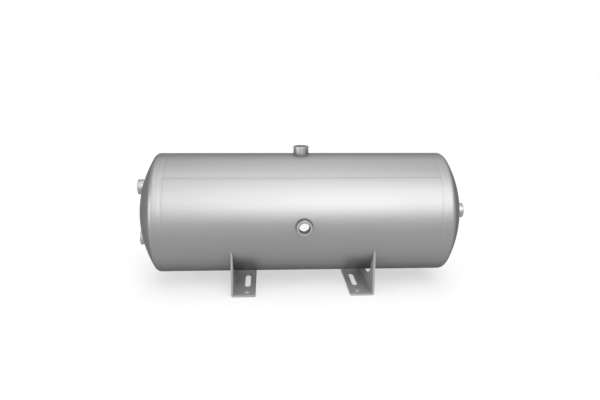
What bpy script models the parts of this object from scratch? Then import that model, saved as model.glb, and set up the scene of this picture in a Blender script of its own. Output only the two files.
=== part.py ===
"""Air receiver tank: a welded steel pressure vessel on two bent feet.

The vessel lies along X with its feet standing on Z = 0, and the origin is under
the middle of the whole part. A rolled shell is closed by two dished ends whose
joggled lips slide into it. Five threaded bosses pass through the wall: one on
top, one at the front (-Y), one in the right end and two in the left end. Every
seam carries its own weld bead. All lengths are in metres.
"""

import math

import bmesh
import bpy
from mathutils import Matrix, Vector

# Vessel
SHELL_DIAMETER = 0.246  # outside
WALL = 0.003
TANGENT_SPAN = 0.576  # between the lines where the two knuckles begin
STRAIGHT_FLANGE = 0.015  # of each dished end, from its knuckle to the girth weld
CROWN_RADIUS = 0.220
KNUCKLE_RADIUS = 0.010
LIP_LENGTH = 0.012  # part of each dished end that lies inside the shell
JOGGLE_SLOPE = 0.004  # how far the inside of the joggle runs along the tank
SEAM_ANGLE = math.radians(45.0)  # long seam, up from the front

# Welds
ROOT_GAP = 0.002  # between the plates that a seam weld joins
BEAD_WIDTH = 0.0048
BEAD_HEIGHT = 0.0007
BEAD_ROOT_DEPTH = 0.0023
BEAD_TOP_SHARE = 0.65  # width of a bead's flat top, as a share of its width
FILLET_LEG = 0.003
FILLET_TOE = 0.0005

# Threaded bosses
BOSS_DIAMETER = 0.031
BORE_DIAMETER = 0.0204  # inside the crests of an M22 x 1.5 thread
BOSS_CHAMFER = 0.0010
THREAD_CHAMFER = 0.0011
BOSS_INSIDE = 0.001  # how far a boss reaches past the wall's inner face
TOP_STAND = 0.0158  # port face above the wall, at the boss's own centre
FRONT_STAND = 0.0145
RIGHT_STAND = 0.0167
LEFT_STAND = 0.0110
LEFT_BOSS_OFFSET = 0.054  # of the left end's two bosses, above and below the axis

# Feet
PLATE = 0.004
BEND_INNER_RADIUS = 0.001
WEB_SPACING = 0.285  # between the outer faces of the two upright webs
FOOT_LENGTH = 0.048  # along the tank, measured from the web's outer face
FOOT_CORNER = 0.003  # radius of the foot's two free corners
GROUND_CLEARANCE = 0.0243  # under the shell
SADDLE_HALF_ANGLE = math.radians(64.0)  # where the web's corners meet the shell
RELIEF_HALF_ANGLE = math.radians(42.3)  # between these the web stands off it
RELIEF_DEPTH = 0.007
CORNER_FLAT = 0.0010  # drop of the web's blunt upper corners
HOLE_LINE = 0.031  # of the slot and holes, from the web's outer face
SLOT_WIDTH = 0.012
SLOT_LENGTH = 0.074
SLOT_SETBACK = 0.0478  # from the foot's front edge to the slot
HOLE_DIAMETER = 0.013
HOLE_SETBACK = 0.0183  # from the foot's front or back edge to the hole's centre

# Finishes: grey, roughness, metallic
SHELL_FINISH = (0.42, 0.38, 0.6)
END_FINISH = (0.40, 0.38, 0.6)
BOSS_FINISH = (0.48, 0.35, 0.7)
WELD_FINISH = (0.36, 0.45, 0.6)
BRACKET_FINISH = (0.30, 0.45, 0.5)

# Fits and fineness
CLEARANCE = 0.0003  # kept between pieces that meet
CUT_MARGIN = 0.005  # how far a cutter runs past the metal
VESSEL_STEPS = 48  # sides of the shell and of what goes round it
BOSS_STEPS = 24
BOSS_PHASE = 0.25  # of a step: no corner of a boss falls on an edge of the vessel
CROWN_STEPS = 6
KNUCKLE_STEPS = 3
BEND_STEPS = 4
CORNER_STEPS = 3
SADDLE_STEPS = 8
RELIEF_STEPS = 20
HOLE_STEPS = 24

SHELL_RADIUS = SHELL_DIAMETER / 2
BOSS_RADIUS = BOSS_DIAMETER / 2
BORE_RADIUS = BORE_DIAMETER / 2
END_DEPTH = CROWN_RADIUS - math.sqrt(
    (CROWN_RADIUS - KNUCKLE_RADIUS) ** 2 - (SHELL_RADIUS - KNUCKLE_RADIUS) ** 2
)
WELD_X = TANGENT_SPAN / 2 - STRAIGHT_FLANGE
CROWN_APEX = TANGENT_SPAN / 2 + END_DEPTH
BEAD_TOP_RADIUS = SHELL_RADIUS + CLEARANCE + BEAD_HEIGHT
AXIS_HEIGHT = GROUND_CLEARANCE + SHELL_RADIUS
SADDLE_RADIUS = SHELL_RADIUS + CLEARANCE
FOOT_HALF_WIDTH = SADDLE_RADIUS * math.sin(SADDLE_HALF_ANGLE)
WEB_TOP = -SADDLE_RADIUS * math.cos(SADDLE_HALF_ANGLE) - CORNER_FLAT

# Frames: local Z along the tank to the right or left, and the shell's own frame,
# in which angles run up from the front and Z lies along the tank.
ALONG_X = {side: Matrix.Rotation(side * math.pi / 2, 4, "Y") for side in (-1, 1)}
SEAM_FRAME = Matrix(((0, 0, 1, 0), (-1, 0, 0, 0), (0, 1, 0, 0), (0, 0, 0, 1)))
FACING_FRONT = Matrix.Rotation(math.pi / 2, 4, "X")


def shell_height(reach, radius):
    """Distance from the tank's axis to a round surface, `reach` round from its top."""
    return math.sqrt(radius**2 - reach**2)


def crown_height(from_axis, inward=0.0):
    """Distance along X from the tank's middle to the crown's outer or inner face."""
    radius = CROWN_RADIUS - inward
    return CROWN_APEX - CROWN_RADIUS + math.sqrt(radius**2 - from_axis**2)


def remove_everything():
    for thing in list(bpy.data.objects):
        bpy.data.objects.remove(thing, do_unlink=True)


def painted_steel(name, grey, roughness, metallic):
    """A Principled material for one finish, in a neutral grey."""
    material = bpy.data.materials.new(name)
    material.use_nodes = True
    shader = material.node_tree.nodes["Principled BSDF"]
    colour = (grey, grey, grey * 1.02, 1.0)
    shader.inputs["Base Color"].default_value = colour
    shader.inputs["Roughness"].default_value = roughness
    shader.inputs["Metallic"].default_value = metallic
    material.diffuse_color = colour
    return material


def place(name, shape, material_values, parent, location=(0, 0, 0), turn=Matrix()):
    """Finish a bmesh as a named object under the tank's axis."""
    bmesh.ops.recalc_face_normals(shape, faces=shape.faces)
    mesh = bpy.data.meshes.new(name)
    shape.to_mesh(mesh)
    shape.free()
    mesh.shade_smooth()
    mesh.set_sharp_from_angle(angle=math.radians(35))
    piece = bpy.data.objects.new(name, mesh)
    bpy.context.scene.collection.objects.link(piece)
    piece.data.materials.append(painted_steel(name + "_steel", *material_values))
    piece.parent = parent
    piece.matrix_local = Matrix.Translation(location) @ turn
    return piece


def cut(piece, cutter):
    """Subtract a cutter, which stays in the file as a wire guide."""
    cutter.hide_render = True
    cutter.display_type = "WIRE"
    modifier = piece.modifiers.new("cut_" + cutter.name, "BOOLEAN")
    modifier.operation = "DIFFERENCE"
    modifier.solver = "EXACT"
    modifier.object = cutter


def swept_section(section, angles, closed):
    """Carry a closed section of (radius, height) points round the Z axis.

    A point on the axis becomes one shared pole. An open sweep gets flat ends.
    """
    shape = bmesh.new()
    columns = []
    for radius, height in section:
        if radius == 0.0:
            pole = shape.verts.new((0.0, 0.0, height))
            columns.append([pole] * len(angles))
        else:
            columns.append(
                [
                    shape.verts.new((radius * math.cos(a), radius * math.sin(a), height))
                    for a in angles
                ]
            )
    spans = len(angles) if closed else len(angles) - 1
    for column, following in zip(columns, columns[1:] + columns[:1]):
        for step in range(spans):
            onward = (step + 1) % len(angles)
            corners = [column[step], column[onward], following[onward], following[step]]
            corners = [c for i, c in enumerate(corners) if c is not corners[i - 1]]
            if len(corners) > 2:
                shape.faces.new(corners)
    if not closed:
        for end in (0, -1):
            shape.faces.new([column[end] for column in columns])
    return shape


def full_turn(steps, phase=0.0):
    return [2 * math.pi * (step + phase) / steps for step in range(steps)]


def swept_angles(first, last, steps):
    return [first + (last - first) * step / steps for step in range(steps + 1)]


def extruded(outline, length):
    """Extrude a closed (x, y) outline along Z, centred on Z = 0."""
    shape = bmesh.new()
    base = shape.faces.new([shape.verts.new((x, y, -length / 2)) for x, y in outline])
    grown = bmesh.ops.extrude_face_region(shape, geom=[base])["geom"]
    moved = [item for item in grown if isinstance(item, bmesh.types.BMVert)]
    bmesh.ops.translate(shape, verts=moved, vec=(0, 0, length))
    return shape


def round_bar(radius, bottom, top, angles):
    section = [(0.0, top), (radius, top), (radius, bottom), (0.0, bottom)]
    return swept_section(section, angles, True)


def bead_section():
    """A seam bead as (across, radius) points: a low cap, and a root in the gap under it."""
    base = SHELL_RADIUS + CLEARANCE
    half = BEAD_WIDTH / 2
    half_top = half * BEAD_TOP_SHARE
    half_root = ROOT_GAP / 2 - CLEARANCE
    return [
        (-half, base),
        (-half_top, base + BEAD_HEIGHT),
        (half_top, base + BEAD_HEIGHT),
        (half, base),
        (half_root, base),
        (half_root, base - BEAD_ROOT_DEPTH),
        (-half_root, base - BEAD_ROOT_DEPTH),
        (-half_root, base),
    ]


# The rolled shell: a plate bent round until its edges leave the long seam's gap.


def make_shell(parent, ports):
    half_length = WELD_X - ROOT_GAP / 2
    slit = math.asin(ROOT_GAP / 2 / SHELL_RADIUS)
    angles = [SEAM_ANGLE + 2 * math.pi * step / VESSEL_STEPS for step in range(VESSEL_STEPS + 1)]
    angles[0] += slit
    angles[-1] -= slit
    inner = SHELL_RADIUS - WALL
    section = [
        (SHELL_RADIUS, -half_length),
        (SHELL_RADIUS, half_length),
        (inner, half_length),
        (inner, -half_length),
    ]
    shape = swept_section(section, angles, False)
    shell = place("shell", shape, SHELL_FINISH, parent, turn=SEAM_FRAME)
    for port in ports:
        cut(shell, port_cutter(port, parent))
    return shell


# The dished ends: crown, knuckle and straight flange, then the joggled lip.


def end_section():
    """Outer crown to lip and back along the inside, as (radius, x) points."""
    crown_angle = math.asin((SHELL_RADIUS - KNUCKLE_RADIUS) / (CROWN_RADIUS - KNUCKLE_RADIUS))
    crown_centre = CROWN_APEX - CROWN_RADIUS
    knuckle_centre = (SHELL_RADIUS - KNUCKLE_RADIUS, TANGENT_SPAN / 2)

    def face(inward):
        crown = [
            (
                (CROWN_RADIUS - inward) * math.sin(a),
                crown_centre + (CROWN_RADIUS - inward) * math.cos(a),
            )
            for a in swept_angles(0, crown_angle, CROWN_STEPS)
        ]
        bend = KNUCKLE_RADIUS - inward
        knuckle = [
            (knuckle_centre[0] + bend * math.sin(a), knuckle_centre[1] + bend * math.cos(a))
            for a in swept_angles(crown_angle, math.pi / 2, KNUCKLE_STEPS)
        ]
        return crown + knuckle[1:]

    shoulder = WELD_X + ROOT_GAP / 2
    lip_end = shoulder - LIP_LENGTH
    lip_outer = SHELL_RADIUS - WALL - CLEARANCE
    lip_inner = lip_outer - WALL
    lip = [
        (SHELL_RADIUS, shoulder),
        (lip_outer, shoulder),
        (lip_outer, lip_end),
        (lip_inner, lip_end),
        (lip_inner, shoulder),
        (SHELL_RADIUS - WALL, shoulder + JOGGLE_SLOPE),
    ]
    return face(0.0) + lip + list(reversed(face(WALL)))


def make_end(side, parent, ports):
    name = ("left" if side < 0 else "right") + "_end"
    shape = swept_section(end_section(), full_turn(VESSEL_STEPS), True)
    end = place(name, shape, END_FINISH, parent, turn=ALONG_X[side])
    for port in ports:
        cut(end, port_cutter(port, parent))
    return end


# Seam welds: one round each end of the shell and one along it.


def make_girth_weld(side, parent):
    name = ("left" if side < 0 else "right") + "_girth_weld"
    section = [(radius, WELD_X + across) for across, radius in bead_section()]
    shape = swept_section(section, full_turn(VESSEL_STEPS), True)
    return place(name, shape, WELD_FINISH, parent, turn=ALONG_X[side])


def make_long_weld(parent):
    length = 2 * (WELD_X - BEAD_WIDTH / 2 - CLEARANCE)
    shape = extruded([(radius, across) for across, radius in bead_section()], length)
    turn = SEAM_FRAME @ Matrix.Rotation(SEAM_ANGLE, 4, "Z")
    return place("long_weld", shape, WELD_FINISH, parent, turn=turn)


# Threaded bosses. Each one's own frame has its port face at Z = 0, facing +Z.

BOSS_ANGLES = full_turn(BOSS_STEPS, BOSS_PHASE)


class Port:
    """Where a boss stands: its frame on the tank, and the wall it passes through."""

    def __init__(self, name, location, turn, wall_face):
        self.name = name
        self.location = location
        self.turn = turn
        self.wall_face = wall_face  # (x, y, inward) -> height of the wall in the boss's frame

    def heights_round(self, radius, inward):
        return [
            self.wall_face(radius * math.cos(a), radius * math.sin(a), inward)
            for a in BOSS_ANGLES
        ]

    def depth(self):
        """How far the boss runs in, to clear the wall's inner face all round."""
        return -min(self.heights_round(BOSS_RADIUS, WALL)) + BOSS_INSIDE


def shell_port(name, stand, turn):
    """A boss on the round shell; its own X runs along the tank."""
    face = SHELL_RADIUS + stand
    location = turn @ Vector((0, 0, face))

    def wall_face(x, y, inward):
        return shell_height(y, SHELL_RADIUS - inward) - face

    return Port(name, location, turn, wall_face)


def end_port(name, side, stand, offset):
    """A boss on a dished end, parallel to the tank, `offset` above its axis."""
    face = crown_height(abs(offset)) + stand
    location = Vector((side * face, 0, offset))
    own_x_upward = -side  # the boss's own X points down on the right, up on the left

    def wall_face(x, y, inward):
        return crown_height(math.hypot(offset + own_x_upward * x, y), inward) - face

    return Port(name, location, ALONG_X[side], wall_face)


def port_cutter(port, parent):
    """The hole that a boss needs in the wall."""
    bottom = -port.depth() - CUT_MARGIN
    shape = round_bar(BOSS_RADIUS + CLEARANCE, bottom, CUT_MARGIN, BOSS_ANGLES)
    name = port.name + "_hole"
    return place(name, shape, SHELL_FINISH, parent, port.location, port.turn)


def make_boss(port, parent):
    bottom = -port.depth()
    mouth = BORE_RADIUS + THREAD_CHAMFER
    section = [
        (mouth, 0.0),
        (BOSS_RADIUS - BOSS_CHAMFER, 0.0),
        (BOSS_RADIUS, -BOSS_CHAMFER),
        (BOSS_RADIUS, bottom),
        (BORE_RADIUS, bottom),
        (BORE_RADIUS, -THREAD_CHAMFER),
    ]
    shape = swept_section(section, BOSS_ANGLES, True)
    return place(port.name + "_boss", shape, BOSS_FINISH, parent, port.location, port.turn)


def make_boss_weld(port, parent):
    """A fillet round the boss whose underside follows the wall."""
    inner = BOSS_RADIUS + CLEARANCE
    outer = inner + FILLET_LEG
    section = [
        (inner, CLEARANCE),
        (outer, CLEARANCE),
        (outer, CLEARANCE + FILLET_TOE),
        (inner, CLEARANCE + FILLET_LEG),
    ]
    shape = bmesh.new()
    columns = []
    for radius, lift in section:
        column = []
        for angle in BOSS_ANGLES:
            x, y = radius * math.cos(angle), radius * math.sin(angle)
            column.append(shape.verts.new((x, y, port.wall_face(x, y, 0.0) + lift)))
        columns.append(column)
    for column, following in zip(columns, columns[1:] + columns[:1]):
        for step in range(BOSS_STEPS):
            onward = (step + 1) % BOSS_STEPS
            shape.faces.new(
                [column[step], column[onward], following[onward], following[step]]
            )
    name = port.name + "_boss_weld"
    return place(name, shape, WELD_FINISH, parent, port.location, port.turn)


# The feet: one plate each, bent to an upright web and a flat foot, with the web
# cut to the shell and the foot pierced for its bolts.


def bend_arc(radius, centre):
    """Quarter turn from straight out (-X) to straight down (-Z)."""
    return [
        (centre[0] - radius * math.cos(a), centre[1] - radius * math.sin(a))
        for a in swept_angles(0, math.pi / 2, BEND_STEPS)
    ]


def bracket_outline():
    """The bent plate seen along the foot: X inward from the web, Z from the tank's axis."""
    outer_radius = BEND_INNER_RADIUS + PLATE
    centre = (outer_radius, -AXIS_HEIGHT + outer_radius)
    outer = bend_arc(outer_radius, centre)
    inner = bend_arc(BEND_INNER_RADIUS, centre)
    return (
        [(0.0, WEB_TOP)]
        + outer
        + [(FOOT_LENGTH, -AXIS_HEIGHT), (FOOT_LENGTH, -AXIS_HEIGHT + PLATE)]
        + list(reversed(inner))
        + [(PLATE, WEB_TOP)]
    )


def round_free_corners(shape):
    """Round the foot's two upright edges at its free end."""

    def at_free_corner(edge):
        first, second = (vert.co for vert in edge.verts)
        at_end = min(abs(first.x), abs(second.x)) > FOOT_LENGTH - CLEARANCE
        return at_end and abs(first.z - second.z) < CLEARANCE

    corners = [edge for edge in shape.edges if at_free_corner(edge)]
    bmesh.ops.bevel(
        shape, geom=corners, offset=FOOT_CORNER, segments=CORNER_STEPS, profile=0.5, affect="EDGES"
    )


def saddle_outline():
    """What the web must clear: the shell, with a deeper relief under its middle."""

    def arc(radius, first, last, steps):
        return [
            (radius * math.sin(a), -radius * math.cos(a))
            for a in swept_angles(first, last, steps)
        ]

    relief_radius = SADDLE_RADIUS + RELIEF_DEPTH
    edge = SADDLE_HALF_ANGLE + math.radians(8)
    return (
        arc(SADDLE_RADIUS, -edge, -RELIEF_HALF_ANGLE, SADDLE_STEPS)
        + arc(relief_radius, -RELIEF_HALF_ANGLE, RELIEF_HALF_ANGLE, RELIEF_STEPS)
        + arc(SADDLE_RADIUS, RELIEF_HALF_ANGLE, edge, SADDLE_STEPS)
    )


def slot_outline(length, width, steps):
    """A straight-sided slot with round ends, long in Y and centred on its middle."""
    radius = width / 2
    reach = (length - width) / 2
    far = [
        (radius * math.cos(a), reach + radius * math.sin(a))
        for a in swept_angles(0, math.pi, steps // 2)
    ]
    return far + [(-x, -y) for x, y in far]


def make_bracket(side, parent):
    name = ("left" if side < 0 else "right") + "_bracket"
    web_x = side * WEB_SPACING / 2
    upright = Matrix.Rotation(math.radians(90), 4, "X")
    outline = [(-side * x, z) for x, z in bracket_outline()]
    shape = extruded(outline, 2 * FOOT_HALF_WIDTH)
    round_free_corners(shape)
    bracket = place(name, shape, BRACKET_FINISH, parent, (web_x, 0, 0), upright)

    def cutter(label, cut_shape, location, turn=Matrix()):
        return place(f"{name}_{label}", cut_shape, BRACKET_FINISH, parent, location, turn)

    web_middle = web_x - side * PLATE / 2
    saddle = extruded(saddle_outline(), PLATE + 2 * CUT_MARGIN)
    facing_along = Matrix(((0, 0, 1, 0), (1, 0, 0, 0), (0, 1, 0, 0), (0, 0, 0, 1)))
    cut(bracket, cutter("saddle", saddle, (web_middle, 0, 0), facing_along))

    hole_x = web_x - side * HOLE_LINE
    foot_middle = -AXIS_HEIGHT + PLATE / 2
    through = PLATE + 2 * CUT_MARGIN
    slot_y = -FOOT_HALF_WIDTH + SLOT_SETBACK + SLOT_LENGTH / 2
    slot = extruded(slot_outline(SLOT_LENGTH, SLOT_WIDTH, HOLE_STEPS), through)
    cut(bracket, cutter("slot", slot, (hole_x, slot_y, foot_middle)))
    for label, end in (("front_hole", -1), ("back_hole", 1)):
        hole_y = end * (FOOT_HALF_WIDTH - HOLE_SETBACK)
        hole = round_bar(HOLE_DIAMETER / 2, -through / 2, through / 2, full_turn(HOLE_STEPS))
        cut(bracket, cutter(label, hole, (hole_x, hole_y, foot_middle)))
    return bracket


def make_bracket_weld(side, end, parent):
    """A fillet in the corner between a web's outer face and the shell."""
    name = "{}_{}_bracket_weld".format(
        "left" if side < 0 else "right", "front" if end < 0 else "back"
    )
    start = WEB_SPACING / 2 + CLEARANCE
    base = SHELL_RADIUS + CLEARANCE
    section = [
        (base, start),
        (base, start + FILLET_LEG),
        (base + FILLET_TOE, start + FILLET_LEG),
        (base + FILLET_LEG, start),
    ]
    margin = FILLET_LEG / SHELL_RADIUS  # keeps the bead off the web's corners
    angles = swept_angles(
        RELIEF_HALF_ANGLE + margin, SADDLE_HALF_ANGLE - margin, SADDLE_STEPS
    )
    # On both ends the swept frame's X points down and its Y to the back.
    down = 0.0 if side > 0 else math.pi
    angles = [down + side * end * a for a in angles]
    shape = swept_section(section, angles, False)
    return place(name, shape, WELD_FINISH, parent, turn=ALONG_X[side])


def make_tank():
    remove_everything()
    top = shell_port("top", TOP_STAND, Matrix())
    front = shell_port("front", FRONT_STAND, FACING_FRONT)
    right = end_port("right", 1, RIGHT_STAND, 0.0)
    left_upper = end_port("left_upper", -1, LEFT_STAND, LEFT_BOSS_OFFSET)
    left_lower = end_port("left_lower", -1, LEFT_STAND, -LEFT_BOSS_OFFSET)

    axis = bpy.data.objects.new("tank_axis", None)
    bpy.context.scene.collection.objects.link(axis)
    middle_x = (right.location.x + left_upper.location.x) / 2
    middle_y = (front.location.y + BEAD_TOP_RADIUS) / 2
    axis.location = (-middle_x, -middle_y, AXIS_HEIGHT)

    make_shell(axis, (top, front))
    make_end(-1, axis, (left_upper, left_lower))
    make_end(1, axis, (right,))
    for side in (-1, 1):
        make_girth_weld(side, axis)
    make_long_weld(axis)
    for port in (top, front, right, left_upper, left_lower):
        make_boss(port, axis)
        make_boss_weld(port, axis)
    for side in (-1, 1):
        make_bracket(side, axis)
        for end in (-1, 1):
            make_bracket_weld(side, end, axis)


make_tank()
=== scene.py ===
import math

import bpy
import numpy as np
from mathutils import Matrix, Vector


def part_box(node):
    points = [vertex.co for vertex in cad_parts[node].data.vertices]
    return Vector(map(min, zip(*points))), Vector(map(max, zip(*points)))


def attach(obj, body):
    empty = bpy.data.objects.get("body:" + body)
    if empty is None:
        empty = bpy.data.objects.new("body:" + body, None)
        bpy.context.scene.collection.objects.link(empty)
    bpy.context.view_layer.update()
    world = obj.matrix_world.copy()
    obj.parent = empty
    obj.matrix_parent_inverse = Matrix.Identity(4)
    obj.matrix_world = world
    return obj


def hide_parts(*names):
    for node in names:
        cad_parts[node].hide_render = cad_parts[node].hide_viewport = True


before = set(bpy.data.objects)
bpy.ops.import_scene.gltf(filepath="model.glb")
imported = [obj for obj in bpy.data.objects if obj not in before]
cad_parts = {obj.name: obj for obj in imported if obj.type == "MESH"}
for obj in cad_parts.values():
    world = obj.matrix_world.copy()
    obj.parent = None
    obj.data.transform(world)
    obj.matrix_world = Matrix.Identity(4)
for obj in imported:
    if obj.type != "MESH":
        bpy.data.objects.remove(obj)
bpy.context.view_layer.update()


# The stage: a camera a little left of the middle and above the tank, looking down
# at it, on a wide white floor in a white room, with soft light from the front and
# above.

CAMERA_PLACE = Vector((-0.07733, -1.16337, 0.44111))
CAMERA_HEADING = 0.0597  # radians, to the right of straight ahead
CAMERA_DIP = 0.2261
CAMERA_ROLL = 0.0077
CAMERA_LENS = 34.19  # mm, before a frame 36 mm wide
CAMERA_FRAME = 36.0

camera = bpy.data.objects.new("camera", bpy.data.cameras.new("camera"))
camera.data.lens = CAMERA_LENS
camera.data.sensor_width = CAMERA_FRAME
camera.matrix_world = (
    Matrix.Translation(CAMERA_PLACE)
    @ Matrix.Rotation(-CAMERA_HEADING, 4, "Z")
    @ Matrix.Rotation(math.pi / 2 - CAMERA_DIP, 4, "X")
    @ Matrix.Rotation(CAMERA_ROLL, 4, "Z")
)
bpy.context.scene.collection.objects.link(camera)
bpy.context.scene.camera = camera
bpy.context.scene.view_settings.view_transform = "Standard"


class Wire:
    """A socket in a node tree. Sums on it add the Math nodes that work them out."""

    def __init__(self, tree, socket=None):
        self.tree = tree
        self.socket = socket

    def node(self, kind, settings=None, inputs=None, output=0):
        """Add a node, set its settings, then its sockets, and return one output."""
        added = self.tree.nodes.new(kind)
        for name, value in (settings or {}).items():
            setattr(added, name, value)
        for name, value in (inputs or {}).items():
            if isinstance(value, Wire):
                self.tree.links.new(value.socket, added.inputs[name])
            else:
                added.inputs[name].default_value = value
        return Wire(self.tree, added.outputs[output])

    def sum(self, operation, first, second):
        """One Math node that works on two wires, or on a wire and a number."""
        settings = {"operation": operation}
        return self.node("ShaderNodeMath", settings, {0: first, 1: second})

    def __add__(self, other):
        return self.sum("ADD", self, other)

    def __radd__(self, other):
        return self.sum("ADD", other, self)

    def __mul__(self, other):
        return self.sum("MULTIPLY", self, other)

    def __rmul__(self, other):
        return self.sum("MULTIPLY", other, self)


def blank_material(name):
    """A material with only its output, and a wire to build from."""
    material = bpy.data.materials.new(name)
    material.use_nodes = True
    tree = material.node_tree
    tree.nodes.clear()
    output = tree.nodes.new("ShaderNodeOutputMaterial")
    return material, Wire(tree), output.inputs["Surface"]


def put_surface(name, points, faces):
    """A mesh object at the origin from an (n, 3) array and a list of faces."""
    mesh = bpy.data.meshes.new(name)
    mesh.from_pydata(points, [], faces)
    mesh.validate()
    piece = bpy.data.objects.new(name, mesh)
    bpy.context.scene.collection.objects.link(piece)
    return piece


def showing(wire):
    """1 on the rays that show the room: to the eye, off metal or through glass."""
    seen, off_metal, through_glass = (
        wire.node("ShaderNodeLightPath", output=f"Is {kind} Ray")
        for kind in ("Camera", "Glossy", "Transmission")
    )
    return wire.node(
        "ShaderNodeMath",
        {"operation": "ADD", "use_clamp": True},
        {0: seen + off_metal, 1: through_glass},
    )


FLOOR_MATT = 0.47
FLOOR_WHITE = 0.52  # share of the floor's white that no shadow reaches
FLOOR_HALF = 20.0
FLOOR_DROP = 0.0001  # so that it never flickers with the undersides of the feet

paper, wire, surface = blank_material("studio_paper")
matt = wire.node("ShaderNodeBsdfDiffuse", inputs={"Color": (FLOOR_MATT,) * 3 + (1.0,)})
white = wire.node(
    "ShaderNodeEmission",
    inputs={"Color": (1.0, 1.0, 1.0, 1.0), "Strength": showing(wire) * FLOOR_WHITE},
)
lit = wire.node("ShaderNodeAddShader", inputs={0: matt, 1: white})
wire.tree.links.new(lit.socket, surface)

floor = put_surface(
    "studio_floor",
    [
        (x * FLOOR_HALF, y * FLOOR_HALF, -FLOOR_DROP)
        for x, y in ((-1, -1), (1, -1), (1, 1), (-1, 1))
    ],
    [(0, 1, 2, 3)],
)
floor.data.materials.append(paper)

ROOM_LIGHT = 0.35  # that the white room throws on the tank

world = bpy.data.worlds.new("studio")
world.use_nodes = True
bpy.context.scene.world = world
wire = Wire(world.node_tree)
strength = showing(wire) * (1.0 - ROOM_LIGHT) + ROOM_LIGHT
background = world.node_tree.nodes["Background"]
background.inputs["Color"].default_value = (1.0, 1.0, 1.0, 1.0)
wire.tree.links.new(strength.socket, background.inputs["Strength"])


def soft_sun(name, azimuth, elevation, spread, brightness):
    """A far round patch of light, `spread` from its middle to its rim, in degrees.

    Azimuth runs to the right of straight in front, elevation up from the floor. Its
    brightness is that of the patch itself, and white paper facing it takes the share
    sin(spread) squared of that.
    """
    around, up, spread = (math.radians(angle) for angle in (azimuth, elevation, spread))
    lamp = bpy.data.lights.new(name, "SUN")
    lamp.angle = 2 * spread
    lamp.energy = math.pi * brightness * math.sin(spread) ** 2
    sun = bpy.data.objects.new(name, lamp)
    outward = Vector(
        (math.sin(around) * math.cos(up), -math.cos(around) * math.cos(up), math.sin(up))
    )
    sun.rotation_mode = "QUATERNION"
    sun.rotation_quaternion = (-outward).to_track_quat("-Z", "Y")
    bpy.context.scene.collection.objects.link(sun)


soft_sun("key_light", 14.0, 42.0, 25.0, 3.0)
soft_sun("front_light", 6.0, 18.0, 14.0, 3.1)
soft_sun("low_light", -2.0, 8.0, 11.0, 0.3)
soft_sun("left_light", -58.0, 10.0, 19.0, 4.6)
soft_sun("overhead_light", 0.0, 84.0, 20.0, 1.6)
soft_sun("back_light", 170.0, 54.0, 18.0, 1.2)


# The rolled shell: a 3 mm steel plate bent to a cylinder, its two edges left 2 mm
# apart for the long seam, with a round hole cut for each of its two bosses.

SHELL_RADIUS = 0.123
WALL = 0.003
SEAM_ANGLE = math.radians(45.0)  # up from the front
SEAM_GAP = 0.002
SHELL_ROWS = 136  # 4 mm each
SHELL_COLUMNS = 192
FRONT_TURN = math.radians(360.0)  # where the plate faces the front, past the seam
TOP_TURN = math.radians(90.0)
BOSS_HOLE_RADIUS = 0.0158
HOLE_CELLS = 3  # half the square of grid cells that a boss hole takes
HOLE_SPREAD = 7 / 3  # where the grid is square again, in those squares
FAR_RING = 99.0  # where no hole is near
EDGE_EASE = 0.00025  # radius of a cut edge
EASE_SHARE = 0.4  # the most that it takes of the grid lines beside it
EASE_ANGLES = np.radians((0.0, 30.0, 60.0, 90.0))
MITRE_LEAST = 0.8  # keeps the plate's sharpest corners from being drawn in too far
SHARP_CORNER = math.radians(40.0)
TINY = 1e-9  # keeps a division from zero, and rounding from the wrong side

low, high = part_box("shell")
MIDDLE = np.array((low + high) / 2)
SHELL_HALF = (high.x - low.x) / 2


def drawn_to_hole(across, along, ring, radius, reach=0.0):
    """Move grid points out to the edge of a round hole or a slot.

    `ring` is 1 on the square of cells that the hole takes, and grows outwards. Each
    point keeps its direction from the nearest point of the slot's middle line, and
    its distance goes evenly from the hole's radius at ring 1 to what it was before at
    ring HOLE_SPREAD.
    """
    nearest = np.clip(along, -reach, reach)
    distance = np.hypot(across, along - nearest)
    share = np.clip((ring - 1.0) / (HOLE_SPREAD - 1.0), 0.0, 1.0)
    wanted = (1.0 - share) * radius + share * distance
    scale = np.where(ring < 0.999, 1.0, wanted / np.maximum(distance, TINY))
    return across * scale, nearest + (along - nearest) * scale


def outside_hole(ring):
    """True for each grid cell whose four corners have a mean ring over 1."""
    return (ring[:-1, :-1] + ring[1:, 1:] + ring[:-1, 1:] + ring[1:, :-1]) / 4 > 1.0


def grid_faces(rows, columns, keep=None, closed=False, looped=False):
    """Faces of a grid whose point in row i and column j has the number i * columns + j.

    A closed grid goes on from its last column to its first, and a looped one from its
    last row to its first.
    """
    row, column = np.meshgrid(
        np.arange(rows if looped else rows - 1),
        np.arange(columns if closed else columns - 1),
        indexing="ij",
    )
    upward = (row + 1) % rows
    onward = (column + 1) % columns
    faces = np.stack(
        [
            row * columns + column,
            row * columns + onward,
            upward * columns + onward,
            upward * columns + column,
        ],
        axis=-1,
    )
    return faces[keep] if keep is not None else faces.reshape(-1, 4)


def normalised(vectors):
    """Each vector divided by its own length."""
    return vectors / np.maximum(np.linalg.norm(vectors, axis=-1, keepdims=True), TINY)


def summed(length, places, values):
    """Add each value to the row that its place names."""
    total = np.zeros((length, 3))
    np.add.at(total, places, values)
    return total


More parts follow.
